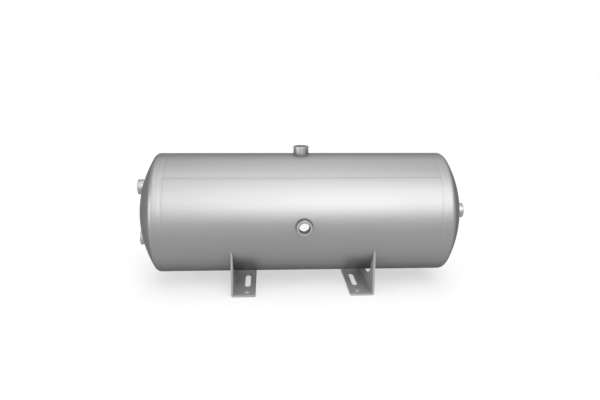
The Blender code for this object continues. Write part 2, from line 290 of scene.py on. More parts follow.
def cut_plate(name, outer, inner, faces, materials):
    """A plate from its outer side and the matching points of its inner side.

    An edge that only one face uses is cut. There both sides are drawn in by the
    easing radius, and a quarter circle, the straight cut and another quarter circle
    join them. Where two cut edges meet, the inset is their mitre, 2 s / |s|^2, with s
    the sum of their unit vectors into the plate. The first material goes on the outer
    side and the second inside.
    """
    used, faces = np.unique(faces, return_inverse=True)
    faces = faces.reshape(-1, 4)
    outer, inner = outer[used], inner[used]
    count = len(used)
    start, end = faces.ravel(), np.roll(faces, -1, axis=1).ravel()
    solid = start != end
    start, end = start[solid], end[solid]
    first, uses = np.unique(
        np.minimum(start, end) * count + np.maximum(start, end),
        return_index=True,
        return_counts=True,
    )[1:]
    cut = first[uses == 1]
    kept = first[uses == 2]
    a, b = start[cut], end[cut]

    depth = np.linalg.norm(inner - outer, axis=1, keepdims=True)
    through_wall = (inner - outer) / depth
    run = normalised(outer[b] - outer[a])
    into_face = normalised(np.cross(-(through_wall[a] + through_wall[b]), run))
    both = summed(count, a, into_face) + summed(count, b, into_face)
    inset = 2.0 * both / np.maximum((both**2).sum(1, keepdims=True), MITRE_LEAST)
    spacing = np.full(count, 1.0)
    lengths = np.linalg.norm(outer[start[kept]] - outer[end[kept]], axis=1)
    np.minimum.at(spacing, start[kept], lengths)
    np.minimum.at(spacing, end[kept], lengths)
    ease = np.minimum(EDGE_EASE, EASE_SHARE * spacing)[:, None]

    rim = np.unique(np.concatenate([a, b]))
    place = np.zeros(count, int)
    place[rim] = np.arange(len(rim))
    rows = []
    for point, inward in ((outer, 1.0), (inner, -1.0)):
        for angle in EASE_ANGLES:
            rows.append(
                point[rim]
                + inset[rim] * ease[rim] * (1.0 - math.sin(angle))
                + inward * through_wall[rim] * ease[rim] * (1.0 - math.cos(angle))
            )
    half = len(EASE_ANGLES)
    rows = rows[:half] + rows[: half - 1 : -1]
    outer, inner = outer.copy(), inner.copy()
    outer[rim], inner[rim] = rows[0], rows[-1]
    points = np.concatenate([outer, inner] + rows[1:-1])
    steps = len(rows) - 1

    def level(row, vertex):
        """Number of the point of that row that belongs to a point of the rim."""
        if row == 0:
            return vertex
        if row == steps:
            return vertex + count
        return 2 * count + (row - 1) * len(rim) + place[vertex]

    rims = [
        np.stack([level(k, b), level(k, a), level(k + 1, a), level(k + 1, b)], axis=1)
        for k in range(steps)
    ]
    corners = np.concatenate([faces, faces[:, ::-1] + count] + rims).tolist()
    corners = [list(dict.fromkeys(face)) for face in corners]
    piece = put_surface(name, points + MIDDLE, corners)
    for material in materials:
        piece.data.materials.append(material)
    side_index = np.zeros(len(corners), int)
    side_index[len(faces) : 2 * len(faces)] = len(materials) - 1
    piece.data.polygons.foreach_set("material_index", side_index)
    smooth_but_for_corners(piece)
    return piece


def smooth_but_for_corners(piece):
    """Shade it smooth, but for the edges whose faces turn by more than SHARP_CORNER."""
    piece.data.shade_smooth()
    piece.data.set_sharp_from_angle(angle=SHARP_CORNER)


FLAKE_EDGE = (0.2, 0.2, 0.2, 1.0)  # metal flake seen edge-on is dull


def tone_between(wire, share, first, second):
    """The colour that lies the given share of the way from the first to the second.

    Sockets 6 and 7 of a Mix node are its two colours.
    """
    return wire.node(
        "ShaderNodeMix",
        {"data_type": "RGBA"},
        {"Factor": share, 6: first, 7: second},
        output=2,
    )


def flaked_metal(wire, surface, tone, roughness, bump, metallic=1.0):
    """Link a metal that is dull edge-on to a material's output.

    Its bump is given as the height from 0 to 1, how many metres 1 stands for, and
    the share of that which shows.
    """
    height, distance, strength = bump
    normal = wire.node(
        "ShaderNodeBump",
        inputs={"Height": height, "Distance": distance, "Strength": strength},
    )
    shader = wire.node(
        "ShaderNodeBsdfPrincipled",
        inputs={
            "Base Color": tone,
            "Metallic": metallic,
            "Specular Tint": FLAKE_EDGE,
            "Roughness": roughness,
            "Normal": normal,
        },
    )
    wire.tree.links.new(shader.socket, surface)


def coated_steel(name, grey, roughness, metallic=1.0):
    """Satin coat over blasted steel: a faint mottle and a fine grain in its tone and
    its gloss, and the low pimples that the blasting leaves."""
    material, wire, surface = blank_material(name)
    place = wire.node("ShaderNodeTexCoord", output="Object")

    def noise(scale, detail):
        inputs = {"Vector": place, "Scale": scale, "Detail": detail, "Roughness": 0.55}
        return wire.node("ShaderNodeTexNoise", inputs=inputs)

    cloud = noise(9.0, 3.0)
    grain = noise(260.0, 2.0)
    pimples = noise(900.0, 2.0)
    dark = (grey * 0.94, grey * 0.94, grey * 0.945, 1.0)
    light = (grey * 1.05, grey * 1.05, grey * 1.06, 1.0)
    tone = tone_between(wire, cloud * 0.6 + grain * 0.4, dark, light)
    gloss = (roughness - 0.05) + 0.06 * cloud + 0.04 * grain
    flaked_metal(wire, surface, tone, gloss, (pimples, 0.00003, 0.6), metallic)
    return material


def primer(name, grey):
    """The dull pale primer on the vessel's inside, a little uneven in tone."""
    material, wire, surface = blank_material(name)
    place = wire.node("ShaderNodeTexCoord", output="Object")
    cloud = wire.node(
        "ShaderNodeTexNoise", inputs={"Vector": place, "Scale": 30.0, "Detail": 4.0}
    )
    dark = (grey * 0.92,) * 3 + (1.0,)
    light = (grey * 1.06,) * 3 + (1.0,)
    tone = tone_between(wire, cloud, dark, light)
    shader = wire.node(
        "ShaderNodeBsdfPrincipled", inputs={"Base Color": tone, "Roughness": 0.7}
    )
    wire.tree.links.new(shader.socket, surface)
    return material


shell_coat = coated_steel("shell_coat", 0.29, 0.45)
inside_primer = primer("inside_primer", 0.55)


def rolled_shell():
    """Points at (x, -r cos a, r sin a) from the tank's middle, a up from the front.

    The columns run from one edge of the plate right round to the other. Near a boss
    the grid is drawn out to its hole in the plane that the boss looks along.
    """
    step = 2 * math.pi / SHELL_COLUMNS
    angle = SEAM_ANGLE + step * np.arange(SHELL_COLUMNS + 1)
    angle[0] += SEAM_GAP / 2 / SHELL_RADIUS
    angle[-1] -= SEAM_GAP / 2 / SHELL_RADIUS
    x = np.linspace(-SHELL_HALF, SHELL_HALF, SHELL_ROWS + 1)
    along, angle = np.meshgrid(x, angle, indexing="ij")
    cell = 2 * SHELL_HALF / SHELL_ROWS
    keep = np.ones((SHELL_ROWS, SHELL_COLUMNS), bool)
    sides = []
    for radius in (SHELL_RADIUS, SHELL_RADIUS - WALL):
        shift_x, shift_angle = along.copy(), angle.copy()
        for facing in (FRONT_TURN, TOP_TURN):
            turn = angle - facing
            ring = np.maximum(np.abs(along) / cell, np.abs(turn) / step) / HOLE_CELLS
            near = ring < HOLE_SPREAD
            side = radius * np.sin(turn[near])
            drawn_x, drawn_side = drawn_to_hole(along[near], side, ring[near], BOSS_HOLE_RADIUS)
            shift_x[near] = drawn_x
            shift_angle[near] = facing + np.arcsin(drawn_side / radius)
            keep &= outside_hole(ring)
        sides.append(
            np.stack(
                [shift_x, -radius * np.cos(shift_angle), radius * np.sin(shift_angle)], axis=-1
            ).reshape(-1, 3)
        )
    faces = grid_faces(SHELL_ROWS + 1, SHELL_COLUMNS + 1, keep)[:, ::-1]
    return sides[0], sides[1], faces


outer, inner, faces = rolled_shell()
shell = cut_plate("rolled_shell", outer, inner, faces, (shell_coat, inside_primer))
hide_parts("shell")
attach(shell, "root")


# The inside lamp: no piece of the tank, but a small round lamp that hangs in the
# middle of the vessel, so that the pale primer inside shows through the ports.

INSIDE_LAMP_POWER = 0.65  # watts
INSIDE_LAMP_RADIUS = 0.03

lamp = bpy.data.lights.new("inside_lamp", "POINT")
lamp.energy = INSIDE_LAMP_POWER
lamp.shadow_soft_size = INSIDE_LAMP_RADIUS
inside_lamp = bpy.data.objects.new("inside_lamp", lamp)
inside_lamp.location = MIDDLE
inside_lamp.visible_camera = False
bpy.context.scene.collection.objects.link(inside_lamp)


# The two dished ends: pressed from one round of 3 mm plate each, with a shallow
# crown, a tight knuckle and a straight flange, whose joggled lip slides into the
# shell. The right one is holed in the middle, the left one above and below it.

CROWN_RADIUS = 0.220
KNUCKLE_RADIUS = 0.010
TANGENT_X = 0.288  # where the knuckle begins, from the tank's middle
SHOULDER_X = 0.274
LIP_END_X = 0.262
LIP_RADIUS = 0.1197  # outside
JOGGLE_X = 0.278  # where the inside begins to step in
CROWN_CELL = 0.004
CROWN_ROWS = 27  # from the hole in the right end to the knuckle
KNUCKLE_ROWS = 12
FLANGE_ROWS = 4
LIP_ROWS = 3
END_COLUMNS = 192
END_CELLS_ROUND = 7  # half the square of cells that a hole takes, round the crown
LEFT_BOSS_HEIGHTS = (0.054, -0.054)  # above the tank's axis

CROWN_TILT = math.asin((SHELL_RADIUS - KNUCKLE_RADIUS) / (CROWN_RADIUS - KNUCKLE_RADIUS))
CROWN_CENTRE_X = TANGENT_X - (CROWN_RADIUS - KNUCKLE_RADIUS) * math.cos(CROWN_TILT)
CROWN_EDGE = CROWN_RADIUS * math.sin(CROWN_TILT)


def end_profile(crown):
    """Matching (radius, x) points of the outside and the inside, from pole to lip.

    The crown is an arc about a point on the axis and the knuckle a tighter one, both
    with their inside 3 mm nearer their centre. Then come the flange, the step of the
    joggle and the lip.
    """
    tilt = np.arcsin(crown / CROWN_RADIUS)
    bend = np.linspace(CROWN_TILT, math.pi / 2, KNUCKLE_ROWS + 1)[1:]
    sides = []
    for inward in (0.0, WALL):
        arc = CROWN_RADIUS - inward
        knuckle = KNUCKLE_RADIUS - inward
        sides.append(
            (
                np.concatenate(
                    [arc * np.sin(tilt), SHELL_RADIUS - KNUCKLE_RADIUS + knuckle * np.sin(bend)]
                ),
                np.concatenate(
                    [CROWN_CENTRE_X + arc * np.cos(tilt), TANGENT_X + knuckle * np.cos(bend)]
                ),
            )
        )
    # The joggle: a 3.3 mm step, square outside and sloped inside, its corners eased.
    flange = np.linspace(TANGENT_X, SHOULDER_X + 0.0004, FLANGE_ROWS + 1)[1:]
    inner_flange = np.linspace(TANGENT_X, JOGGLE_X + 0.0004, FLANGE_ROWS + 1)[1:]
    step_radius = SHELL_RADIUS - np.array([0.0001, 0.0005, 0.0028, 0.0032, 0.0033])
    step_x = SHOULDER_X + np.array([0.0001, 0.0, 0.0, -0.0001, -0.0006])
    inner_radius = SHELL_RADIUS - WALL - np.array([0.0001, 0.0006, 0.0027, 0.0032, 0.0033])
    inner_x = np.array(
        [
            JOGGLE_X + 0.0001,
            JOGGLE_X - 0.0007,
            SHOULDER_X + 0.0007,
            SHOULDER_X + 0.0001,
            SHOULDER_X - 0.0006,
        ]
    )
    lip = np.linspace(step_x[-1], LIP_END_X, LIP_ROWS + 1)[1:]
    straight = np.full(FLANGE_ROWS, SHELL_RADIUS)
    lipped = np.full(LIP_ROWS, LIP_RADIUS)
    outside = (
        np.concatenate([sides[0][0], straight, step_radius, lipped]),
        np.concatenate([sides[0][1], flange, step_x, lip]),
    )
    inside = (
        np.concatenate([sides[1][0], straight - WALL, inner_radius, lipped - WALL]),
        np.concatenate([sides[1][1], inner_flange, inner_x, lip]),
    )
    return outside, inside


def dished_end(side, heights):
    """Turn the profile about the tank's axis, then draw the crown's grid out to its holes.

    A point at radius r and turn a lies at (s x, s r cos a, r sin a), where s is -1 on
    the left, and the crown's x follows from the radius after the grid has moved.
    """
    if heights:
        crown = np.append(np.arange(0.0, CROWN_EDGE - CROWN_CELL, CROWN_CELL), CROWN_EDGE)
        crown[1:-1] += heights[0] % CROWN_CELL
    else:
        crown = np.linspace(BOSS_HOLE_RADIUS, CROWN_EDGE, CROWN_ROWS)
    outside, inside = end_profile(crown)
    step = 2 * math.pi / END_COLUMNS
    turn = step * np.arange(END_COLUMNS)
    rows = len(outside[0])
    keep = np.ones((rows - 1, END_COLUMNS), bool)
    sides = []
    for inward, (radius, x) in ((0.0, outside), (WALL, inside)):
        flat_y = radius[:, None] * np.cos(turn)
        flat_z = radius[:, None] * np.sin(turn)
        x = np.repeat(x[:, None], END_COLUMNS, axis=1)
        for height in heights:
            facing = math.pi / 2 if height > 0 else 3 * math.pi / 2
            rings = np.full(flat_y.shape, FAR_RING)
            up_crown = np.abs(crown - abs(height)) / (HOLE_CELLS * CROWN_CELL)
            round_crown = np.abs(turn - facing) / (END_CELLS_ROUND * step)
            rings[: len(crown)] = np.maximum(up_crown[:, None], round_crown)
            near = rings < HOLE_SPREAD
            drawn_y, drawn_z = drawn_to_hole(
                flat_y[near], flat_z[near] - height, rings[near], BOSS_HOLE_RADIUS
            )
            flat_y[near], flat_z[near] = drawn_y, drawn_z + height
            distance = np.hypot(flat_y[near], flat_z[near])
            x[near] = CROWN_CENTRE_X + np.sqrt((CROWN_RADIUS - inward) ** 2 - distance**2)
            keep &= outside_hole(np.append(rings, rings[:, :1], axis=1))
        sides.append(np.stack([side * x, side * flat_y, flat_z], axis=-1).reshape(-1, 3))
    faces = grid_faces(rows, END_COLUMNS, keep, closed=True)[:, ::-1]
    if heights:
        faces = np.where(faces < END_COLUMNS, 0, faces)  # the crown's pole is one point
    return sides[0], sides[1], faces


end_coat = coated_steel("end_coat", 0.285, 0.45)
for side, label, heights in ((-1, "left", LEFT_BOSS_HEIGHTS), (1, "right", ())):
    outer, inner, faces = dished_end(side, heights)
    end = cut_plate(label + "_dished_end", outer, inner, faces, (end_coat, inside_primer))
    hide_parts(label + "_end")
    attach(end, "root")


# The seam welds: one bead round each end of the shell and one along it, laid by
# machine, so the ripples of the cooling pool follow one another evenly. They carry
# the same coat as the plates.

SEAM_HALF_WIDTH = 0.0025
GIRTH_RISE = 0.00013
LONG_RISE = 0.0005
SEAM_ROOT = 0.0020  # how deep the bead goes between the plates
TOE_DEPTH = 0.00008  # how far a bead's toes sink into the plate
WELD_X = 0.273
RIPPLE_PITCH = 0.0017
RIPPLE_HEIGHT = 0.00002
RIPPLE_LAG = 0.9  # how far, in ripples, a ripple's ends trail its middle
RIPPLE_CLIMB = 0.75  # share of a ripple that climbs
CAP_POWER = 2.6
END_LENGTH = 1.3  # of an open bead's rounded ends, in half widths
END_STUB = 0.02  # square of the width that its very ends keep
BEAD_POINTS = 13
STEPS_PER_RIPPLE = 7


def swell(first, second):
    """How a weld's size drifts: 1 plus a sine wave of 5 % and one of 4 %."""
    return 1.0 + 0.05 * np.sin(first) + 0.04 * np.sin(second)


def bead(name, toe_a, toe_b, root, rise, closed, material, ripple=RIPPLE_HEIGHT):
    """A weld bead between two toe lines, over a root line.

    Across the bead, w runs from -1 to 1 between the toes. The cap stands off the
    straight line between them by rise (1 - |w|^2.6), away from the root, times a slow
    swell. Ripples are added to it: each climbs slowly along the bead and drops
    steeply, and lags by w^2. An open bead shrinks to rounded ends.
    """
    count = len(toe_a)
    middle = (toe_a + toe_b) / 2
    up = normalised(middle - root)
    steps = np.linalg.norm(np.diff(middle, axis=0), axis=1)
    length = np.concatenate([[0.0], np.cumsum(steps)])
    whole = length[-1] + (np.linalg.norm(middle[0] - middle[-1]) if closed else 0.0)
    ripples = max(1.0, round(whole / RIPPLE_PITCH))
    w = np.linspace(-1.0, 1.0, BEAD_POINTS)
    phase = ripples * length[:, None] / whole - RIPPLE_LAG * w**2
    saw = phase % 1.0
    wave = np.minimum(saw / RIPPLE_CLIMB, (1.0 - saw) / (1.0 - RIPPLE_CLIMB))
    slow = swell(
        2 * math.pi * 3 * length / whole + 0.7,
        2 * math.pi * 11 * length / whole + 2.1,
    )
    envelope = 1.0 - np.abs(w) ** CAP_POWER
    lift = rise * envelope * slow[:, None] + ripple * (wave - 0.5) * np.sqrt(envelope)
    if not closed:
        half = np.linalg.norm(toe_a - toe_b, axis=1) / 2
        from_end = np.clip(np.minimum(length, whole - length) / (END_LENGTH * half), 0.0, 1.0)
        taper = np.sqrt(np.clip(1.0 - (1.0 - from_end) ** 2, END_STUB, 1.0))
        toe_a = middle + (toe_a - middle) * taper[:, None]
        toe_b = middle + (toe_b - middle) * taper[:, None]
        lift = lift * taper[:, None]
    share = ((w + 1.0) / 2)[:, None]
    cap = toe_a[:, None] * (1.0 - share) + toe_b[:, None] * share + lift[..., None] * up[:, None]
    points = np.concatenate([cap, root[:, None]], axis=1)
    columns = BEAD_POINTS + 1
    faces = grid_faces(count, columns, closed=True, looped=closed)
    corner = points[0, BEAD_POINTS // 2]
    aside = points[0, BEAD_POINTS // 2 + 1] - corner
    onward = points[1, BEAD_POINTS // 2] - corner
    facing_out = np.dot(np.cross(aside, onward), up[0]) > 0
    faces = (faces if facing_out else faces[:, ::-1]).tolist()
    if not closed:
        start = list(range(columns))
        end = list(range((count - 1) * columns, count * columns))
        faces += [start[::-1], end] if facing_out else [start, end[::-1]]
    piece = put_surface(name, points.reshape(-1, 3) + MIDDLE, faces)
    across = np.tile(np.append(w, 0.0), count).astype(np.float32)
    piece.data.attributes.new("across", "FLOAT", "POINT").data.foreach_set("value", across)
    piece.data.materials.append(material)
    piece.data.shade_smooth()
    return piece


def weld_metal(name, grey, roughness, toe_shade_share):
    """Coated weld metal: pitted finely and rougher along its toes, where painted shade
    darkens its tone to the last argument's share of the grey. It stands in for the
    shade in the crease where the bead meets the plate. The toes' mask is w^4."""
    material, wire, surface = blank_material(name)
    place = wire.node("ShaderNodeTexCoord", output="Object")
    across = wire.node("ShaderNodeAttribute", {"attribute_name": "across"}, output="Fac")
    toes = across * across * across * across
    grain = wire.node(
        "ShaderNodeTexNoise", inputs={"Vector": place, "Scale": 700.0, "Detail": 3.0}
    )
    # painted shade: the tone falls towards the toes, where the bead meets the plate
    cap_tone = (grey * 1.03,) * 3 + (1.0,)
    shaded_toe_tone = (grey * toe_shade_share,) * 3 + (1.0,)
    tone = tone_between(wire, toes * 0.8 + grain * 0.2, cap_tone, shaded_toe_tone)
    gloss = roughness + 0.08 * grain + 0.1 * toes
    flaked_metal(wire, surface, tone, gloss, (grain, 0.00003, 0.7))
    return material


# The last number is the share of the grey left at the toes under painted shade; the long seam's
# low one paints a dark shadow line along both its edges.
girth_coat = weld_metal("girth_coat", 0.29, 0.42, 0.93)
long_coat = weld_metal("long_coat", 0.28, 0.43, 0.55)


def round_the_shell(x, radius, turn):
    """Points at (x, -r cos a, r sin a), round the tank's axis."""
    return np.stack(
        [np.full_like(turn, x), -radius * np.cos(turn), radius * np.sin(turn)], axis=-1
    )


turn = np.linspace(
    0.0,
    2 * math.pi,
    STEPS_PER_RIPPLE * round(2 * math.pi * SHELL_RADIUS / RIPPLE_PITCH),
    endpoint=False,
)
toe_radius = SHELL_RADIUS - TOE_DEPTH
for side, label in ((-1, "left"), (1, "right")):
    ring = bead(
        label + "_girth_bead",
        round_the_shell(side * WELD_X - SEAM_HALF_WIDTH, toe_radius, turn),
        round_the_shell(side * WELD_X + SEAM_HALF_WIDTH, toe_radius, turn),
        round_the_shell(side * WELD_X, SHELL_RADIUS - SEAM_ROOT, turn),
        GIRTH_RISE,
        True,
        girth_coat,
    )
    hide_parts(label + "_girth_weld")
    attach(ring, "root")

x = np.linspace(
    -WELD_X + SEAM_HALF_WIDTH / 2,
    WELD_X - SEAM_HALF_WIDTH / 2,
    STEPS_PER_RIPPLE * round(2 * WELD_X / RIPPLE_PITCH),
)


def along_the_shell(radius, turn):
    """The same points, for one turn and every x of the long seam."""
    return np.stack(
        [x, np.full_like(x, -radius * math.cos(turn)), np.full_like(x, radius * math.sin(turn))],
        axis=-1,
    )


half_turn = SEAM_HALF_WIDTH / SHELL_RADIUS
seam = bead(
    "long_bead",
    along_the_shell(toe_radius, SEAM_ANGLE - half_turn),
    along_the_shell(toe_radius, SEAM_ANGLE + half_turn),
    along_the_shell(SHELL_RADIUS - SEAM_ROOT, SEAM_ANGLE),
    LONG_RISE,
    False,
    long_coat,
)
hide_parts("long_weld")
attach(seam, "root")


# The five threaded bosses: turned from round bar, chamfered outside and in, and
# tapped M22 x 1.5 right through. Their faces are left as turned.

BOSS_RADIUS = 0.0155
BOSS_CHAMFER = 0.001
THREAD_PITCH = 0.0015
THREAD_CREST_RADIUS = 0.0102
THREAD_DEPTH = 0.0008
THREAD_CREST_HALF = 0.00019  # of the flat on a crest, and on a root
THREAD_FLANK = 0.00047  # along the axis
MOUTH_CHAMFER = 0.0011
FACE_EASE = 0.0001  # from the bore to the flat of either face
FACE_ROWS = 6
ROWS_PER_THREAD = 12
BOSS_COLUMNS = 96


def eased(corners, radius, steps=3):
    """A profile with each corner but the first and last turned into a short curve.

    The curve leaves the corner `radius` before it and meets it `radius` after, and
    is the parabola drawn between the two.
    """
    corners = np.array(corners)
    before = normalised(corners[:-2] - corners[1:-1]) * radius
    after = normalised(corners[2:] - corners[1:-1]) * radius
    t = np.linspace(0.0, 1.0, steps + 1)[:, None, None]
    curve = corners[1:-1] + before * (1 - t) ** 2 + after * t**2
    return np.concatenate([corners[:1], curve.transpose(1, 0, 2).reshape(-1, 2), corners[-1:]])


def spokes(outward, turn):
    """Unit vectors at each turn about an axis: cos a times one square to it, plus
    sin a times the vector square to both."""
    across = np.array([0.0, 0.0, 1.0]) if abs(outward[2]) < 0.5 else np.array([1.0, 0.0, 0.0])
    sideways = np.cross(outward, across)
    return np.cos(turn)[:, None] * across + np.sin(turn)[:, None] * sideways


def threaded_boss(name, face_middle, outward, depth, material):
    """A turned profile round the boss's axis, with a helix cut into its bore.

    Height h is 0 on the port face and falls inwards. In the bore the radius is the
    crest's plus the thread's depth times a trapezium wave in h / pitch - a / turn,
    where a is the turn about the axis, and never less than the mouth's chamfer.
    """
    turn = 2 * math.pi * np.arange(BOSS_COLUMNS) / BOSS_COLUMNS
    mouth = THREAD_CREST_RADIUS + MOUTH_CHAMFER
    bore_h = np.arange(-depth, -FACE_EASE, THREAD_PITCH / ROWS_PER_THREAD)
    from_crest = np.abs((bore_h[:, None] / THREAD_PITCH - turn / (2 * math.pi)) % 1.0 - 0.5)
    from_crest = (0.5 - from_crest) * THREAD_PITCH
    wave = np.clip((from_crest - THREAD_CREST_HALF) / THREAD_FLANK, 0.0, 1.0)
    bore_r = np.maximum(THREAD_CREST_RADIUS + THREAD_DEPTH * wave, mouth + bore_h[:, None])
    turned = eased(
        [
            (mouth, -FACE_EASE / 2),
            (mouth + FACE_EASE, 0.0),
            (BOSS_RADIUS - BOSS_CHAMFER, 0.0),
            (BOSS_RADIUS, -BOSS_CHAMFER),
            (BOSS_RADIUS, -depth),
            (THREAD_CREST_RADIUS + THREAD_DEPTH + FACE_EASE, -depth),
        ],
        FACE_EASE / 2,
    )
    face = np.linspace(turned[4, 0], turned[5, 0], FACE_ROWS + 2)[1:-1]
    turned = np.concatenate(
        [turned[:5], np.stack([face, np.zeros_like(face)], axis=1), turned[5:]]
    )
    radius = np.concatenate([bore_r, np.repeat(turned[:, :1], BOSS_COLUMNS, axis=1)])
    height = np.repeat(np.append(bore_h, turned[:, 1])[:, None], BOSS_COLUMNS, axis=1)
    points = (
        face_middle
        + height[..., None] * outward
        + radius[..., None] * spokes(outward, turn)
    )
    rows = len(radius)
    faces = grid_faces(rows, BOSS_COLUMNS, closed=True, looped=True)[:, ::-1]
    piece = put_surface(name, points.reshape(-1, 3), faces.tolist())
    steps = np.hypot(np.diff(radius[:, 0]), np.diff(height[:, 0]))
    along = np.append(0.0, np.cumsum(steps))
    in_bore = np.repeat(np.arange(rows) < len(bore_h), BOSS_COLUMNS)
    for label, values in (("along", np.repeat(along, BOSS_COLUMNS)), ("bore", in_bore)):
        attribute = piece.data.attributes.new(label, "FLOAT", "POINT")
        attribute.data.foreach_set("value", values.astype(np.float32))
    piece.data.materials.append(material)
    smooth_but_for_corners(piece)
    return piece


def turned_steel(name, grey, roughness):
    """Turned steel: fine grooves that the tool left, one behind another along the
    profile, and a rougher thread, its tone much darker with painted shade of the bore."""
    material, wire, surface = blank_material(name)
    place = wire.node("ShaderNodeTexCoord", output="Object")
    along = wire.node("ShaderNodeAttribute", {"attribute_name": "along"}, output="Fac")
    bore = wire.node("ShaderNodeAttribute", {"attribute_name": "bore"}, output="Fac")
    grooves = wire.node(
        "ShaderNodeTexNoise",
        {"noise_dimensions": "1D"},
        {"W": along, "Scale": 5000.0, "Detail": 2.0},
    )
    grain = wire.node(
        "ShaderNodeTexNoise", inputs={"Vector": place, "Scale": 400.0, "Detail": 3.0}
    )
    bright = (grey * 1.06, grey * 1.06, grey * 1.06, 1.0)
    # painted shade: in the bore the tone falls to 0.3 of the grey, for the shade inside the port
    bore_shade = (grey * 0.3, grey * 0.3, grey * 0.31, 1.0)
    tone = tone_between(wire, bore * 0.85 + grain * 0.15, bright, bore_shade)
    gloss = (roughness - 0.05) + 0.1 * grooves + 0.04 * grain + 0.2 * bore
    flaked_metal(wire, surface, tone, gloss, (grooves, 0.00002, 0.5))
    return material


boss_steel = turned_steel("boss_steel", 0.33, 0.38)
PORTS = {
    "top": (0.0, 0.0, 1.0),
    "front": (0.0, -1.0, 0.0),
    "right": (1.0, 0.0, 0.0),
    "left_upper": (-1.0, 0.0, 0.0),
    "left_lower": (-1.0, 0.0, 0.0),
}
for label, outward in PORTS.items():
    outward = np.array(outward)
    low, high = (np.array(corner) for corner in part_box(label + "_boss"))
    reach = np.abs((high - low) @ outward)
    face_middle = (low + high) / 2 + outward * reach / 2
    boss = threaded_boss(label + "_threaded_boss", face_middle, outward, reach, boss_steel)
    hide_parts(label + "_boss")
    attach(boss, "root")


# The boss welds: a fillet by hand round the foot of each boss, which rises and
# falls with the wall that the boss stands on.

FILLET_LEG = 0.0015
FILLET_ROOT = 0.0002  # how far it goes in past the corner, each way
FILLET_RISE = 0.00035
FILLET_RIPPLE = 0.0001

# The fillets' coat is far darker than the plates', and darker still at its toes: painted shade
# in the corners where each boss and each web meets the wall.
shaded_fillet_coat = weld_metal("shaded_fillet_coat", 0.17, 0.44, 0.35)


def wall_under(points, outward):
    """Slide points along a boss's axis onto the outer face of the wall.

    On the shell, y and z lie on its circle. On an end, x is the crown's centre plus
    the root of the crown's radius squared less the distance from the axis squared.
    """
    points = points.copy()
    if outward[0]:
        distance = np.hypot(points[:, 1], points[:, 2])
        points[:, 0] = outward[0] * (
            CROWN_CENTRE_X + np.sqrt((CROWN_RADIUS - TOE_DEPTH) ** 2 - distance**2)
        )
    else:
        rising = int(np.argmax(np.abs(outward)))
        other = 3 - rising
        points[:, rising] = outward[rising] * np.sqrt(
            (SHELL_RADIUS - TOE_DEPTH) ** 2 - points[:, other] ** 2
        )
    return points


fillet_steps = STEPS_PER_RIPPLE * round(2 * math.pi * BOSS_RADIUS / RIPPLE_PITCH)
turn = np.linspace(0.0, 2 * math.pi, fillet_steps, endpoint=False)
for label, outward in PORTS.items():
    outward = np.array(outward)
    low, high = (np.array(corner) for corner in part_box(label + "_boss"))
    axis_point = ((low + high) / 2 - MIDDLE) * (1.0 - np.abs(outward))
    spoke = spokes(outward, turn)
    leg = (FILLET_LEG * swell(3 * turn + 0.4, 7 * turn + 1.9))[:, None]
    corner = wall_under(axis_point + spoke * BOSS_RADIUS, outward)
    fillet = bead(
        label + "_boss_fillet",
        wall_under(axis_point + spoke * (BOSS_RADIUS + leg), outward),
        corner + outward * leg - spoke * TOE_DEPTH,
        corner - spoke * FILLET_ROOT - outward * FILLET_ROOT,
        FILLET_RISE,
        True,
        shaded_fillet_coat,
        ripple=FILLET_RIPPLE,
    )
    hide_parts(label + "_boss_weld")
    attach(fillet, "root")


# The two feet: 4 mm plate, bent to an upright web and a flat foot. The web is cut
# to the shell, with a deeper relief under its middle, and the foot has a slot and
# two round holes for its bolts.

PLATE = 0.004
BEND_INNER = 0.001
WEB_X = 0.1425  # of the web's outer face
FOOT_LENGTH = 0.048
FOOT_CORNER = 0.003
SADDLE_RADIUS = 0.1231
SADDLE_END = math.radians(63.4)
RELIEF_RADIUS = 0.1303
RELIEF_END = math.radians(42.3)
HOLE_LINE = 0.031  # from the web's outer face
SLOT_MIDDLE = -0.026
SLOT_REACH = 0.031  # half the slot's straight part
SLOT_RADIUS = 0.006
SLOT_SQUARE = (0.004, 0.0045)  # half the cells that it takes, across and past its ends
BOLT_HOLE_RADIUS = 0.0065
BOLT_HOLE_SQUARE = (0.005, 0.005)
BOLT_HOLE_Y = 0.0925
BOLT_HOLE_MARGIN = 0.012
FOOT_CELL = 0.001
EDGE_COLUMNS = 6
UPRIGHT_COLUMNS = 4  # from the web's lower corner to the relief's end
SADDLE_COLUMNS = 18
SADDLE_ROWS = 6
WEB_ROWS = 18
BEND_ROWS = 6

low, high = (np.array(corner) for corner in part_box("left_bracket"))
FOOT_HALF = (high[1] - low[1]) / 2
FLOOR_Z = low[2] - MIDDLE[2]


def foot_lines():
    """Where the grid's lines cross the foot: 1 mm apart, with one on each edge."""
    reach = BOLT_HOLE_Y + BOLT_HOLE_MARGIN
    inner = np.arange(-reach, reach + FOOT_CELL / 2, FOOT_CELL)
    edge = np.linspace(inner[-1], FOOT_HALF, EDGE_COLUMNS + 1)[1:]
    return np.concatenate([-edge[::-1], inner, edge])


